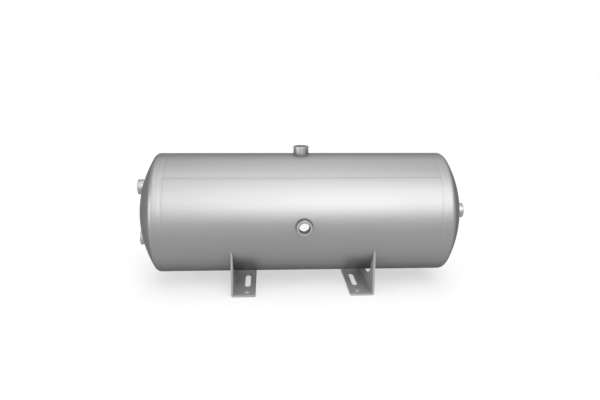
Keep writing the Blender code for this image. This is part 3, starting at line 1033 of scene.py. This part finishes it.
def bent_foot(side):
    """The outer face of the bent plate, as one grid from the saddle to the foot's end.

    The web's columns are rays from the tank's axis, each shared evenly between the
    saddle or relief arc and the bend or the web's upright edge. Below, the same
    columns run straight round the bend, a quarter circle, and out along the foot.
    """
    outer_bend = BEND_INNER + PLATE
    drop = -FLOOR_Z - outer_bend  # from the axis to the top of the bend
    foot_y = foot_lines()
    corner = math.atan2(FOOT_HALF, drop)
    beside = np.concatenate(
        [
            np.linspace(corner, RELIEF_END, UPRIGHT_COLUMNS + 1)[1:],
            np.linspace(RELIEF_END, SADDLE_END, SADDLE_COLUMNS + 1)[1:],
        ]
    )
    ray = np.concatenate([-beside[::-1], np.arctan2(foot_y, drop), beside])
    columns = len(ray)
    in_foot = np.abs(ray) < corner + TINY
    reach = np.where(
        in_foot,
        drop / np.cos(ray),
        FOOT_HALF / np.maximum(np.abs(np.sin(ray)), TINY),
    )
    in_relief = np.abs(ray) < RELIEF_END - TINY
    web_share = np.linspace(0.0, 1.0, WEB_ROWS + 1)
    step_share = (RELIEF_RADIUS - SADDLE_RADIUS) / (
        FOOT_HALF / math.sin(RELIEF_END) - SADDLE_RADIUS
    )
    saddle_share = np.linspace(0.0, step_share, SADDLE_ROWS + 1)[:-1]
    saddle_share = np.concatenate([saddle_share, step_share + (1 - step_share) * web_share])
    relief_share = np.concatenate([np.zeros(SADDLE_ROWS), web_share])
    top = np.where(in_relief, RELIEF_RADIUS, SADDLE_RADIUS)
    share = np.where(in_relief, relief_share[:, None], saddle_share[:, None])
    radius = top + share * (reach - top)
    web = np.stack(
        [np.zeros_like(radius), radius * np.sin(ray), -radius * np.cos(ray)], axis=-1
    )
    web_out = np.tile([-1.0, 0.0, 0.0], web.shape[:2] + (1,))

    bend = np.linspace(0.0, math.pi / 2, BEND_ROWS + 1)[1:]
    out = np.arange(outer_bend + FOOT_CELL, FOOT_LENGTH + TINY, FOOT_CELL)
    inward_x = np.concatenate([outer_bend * (1 - np.cos(bend)), out])
    height = np.concatenate(
        [FLOOR_Z + outer_bend * (1 - np.sin(bend)), np.full(len(out), FLOOR_Z)]
    )
    lean = np.concatenate([bend, np.full(len(out), math.pi / 2)])
    across_y = np.zeros(columns)
    across_y[in_foot] = foot_y
    grid_x, grid_y = np.meshgrid(inward_x, across_y, indexing="ij")
    keep_foot = np.repeat((in_foot[:-1] & in_foot[1:])[None], len(inward_x), axis=0)
    for middle, reach_y, radius, square in (
        (SLOT_MIDDLE, SLOT_REACH, SLOT_RADIUS, SLOT_SQUARE),
        (-BOLT_HOLE_Y, 0.0, BOLT_HOLE_RADIUS, BOLT_HOLE_SQUARE),
        (BOLT_HOLE_Y, 0.0, BOLT_HOLE_RADIUS, BOLT_HOLE_SQUARE),
    ):
        u, v = grid_x - HOLE_LINE, grid_y - middle
        past = np.abs(v - np.clip(v, -reach_y, reach_y))
        ring = np.maximum(np.abs(u) / square[0], past / square[1])
        ring[:BEND_ROWS] = FAR_RING
        near = ring < HOLE_SPREAD
        u, v = drawn_to_hole(u[near], v[near], ring[near], radius, reach_y)
        grid_x[near], grid_y[near] = u + HOLE_LINE, v + middle
        keep_foot[1:] &= outside_hole(ring)
    # Each free corner's square of grid points is drawn in to a quarter circle.
    over_x = grid_x - (FOOT_LENGTH - FOOT_CORNER)
    over_y = np.abs(grid_y) - (FOOT_HALF - FOOT_CORNER)
    at_corner = (over_x > TINY) & (over_y > TINY)
    squeeze = np.maximum(over_x, over_y)[at_corner] / np.hypot(over_x, over_y)[at_corner]
    grid_x[at_corner] -= over_x[at_corner] * (1.0 - squeeze)
    grid_y[at_corner] -= np.sign(grid_y[at_corner]) * over_y[at_corner] * (1.0 - squeeze)
    foot = np.stack([grid_x, grid_y, np.repeat(height[:, None], columns, axis=1)], axis=-1)
    foot_out = np.stack(
        [-np.cos(lean), np.zeros_like(lean), -np.sin(lean)], axis=-1
    )[:, None].repeat(columns, axis=1)

    points = np.concatenate([web, foot])
    outward = np.concatenate([web_out, foot_out])
    keep_web = np.ones((len(web) - 1, columns - 1), bool)
    relief_cell = np.abs(ray[:-1] + ray[1:]) / 2 < RELIEF_END
    keep_web[:SADDLE_ROWS] &= ~relief_cell
    keep = np.concatenate([keep_web, keep_foot])
    faces = grid_faces(len(points), columns, keep)
    inner = points - outward * PLATE
    to_tank = np.array([-side, 1.0, 1.0])
    start = np.array([side * WEB_X, 0.0, 0.0])
    points = points.reshape(-1, 3) * to_tank + start
    inner = inner.reshape(-1, 3) * to_tank + start
    return points, inner, faces if side < 0 else faces[:, ::-1]


foot_coat = coated_steel("foot_coat", 0.35, 0.42, 0.2)
for side, label in ((-1, "left"), (1, "right")):
    outer, inner, faces = bent_foot(side)
    foot = cut_plate(label + "_bent_foot", outer, inner, faces, (foot_coat,))
    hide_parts(label + "_bracket")
    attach(foot, "root")


# The foot welds: a fillet at each end of each web, in the corner between its outer
# face and the shell, stopping short of the relief and of the web's corner.

FOOT_WELD_START = math.radians(43.7)
FOOT_WELD_END = math.radians(62.6)
steps = STEPS_PER_RIPPLE * round(
    SHELL_RADIUS * (FOOT_WELD_END - FOOT_WELD_START) / RIPPLE_PITCH
)
for side, label in ((-1, "left"), (1, "right")):
    for end, end_label in ((-1, "front"), (1, "back")):
        turn = end * np.linspace(FOOT_WELD_START, FOOT_WELD_END, steps)
        down = np.stack([np.zeros(steps), np.sin(turn), -np.cos(turn)], axis=-1)
        along = np.array([side, 0.0, 0.0])
        corner = down * SHELL_RADIUS + along * WEB_X
        fillet = bead(
            f"{label}_{end_label}_foot_fillet",
            corner + along * FILLET_LEG - down * TOE_DEPTH,
            corner + down * FILLET_LEG - along * TOE_DEPTH,
            corner - down * FILLET_ROOT - along * FILLET_ROOT,
            FILLET_RISE,
            False,
            shaded_fillet_coat,
            ripple=FILLET_RIPPLE,
        )
        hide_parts(f"{label}_{end_label}_bracket_weld")
        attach(fillet, "root")
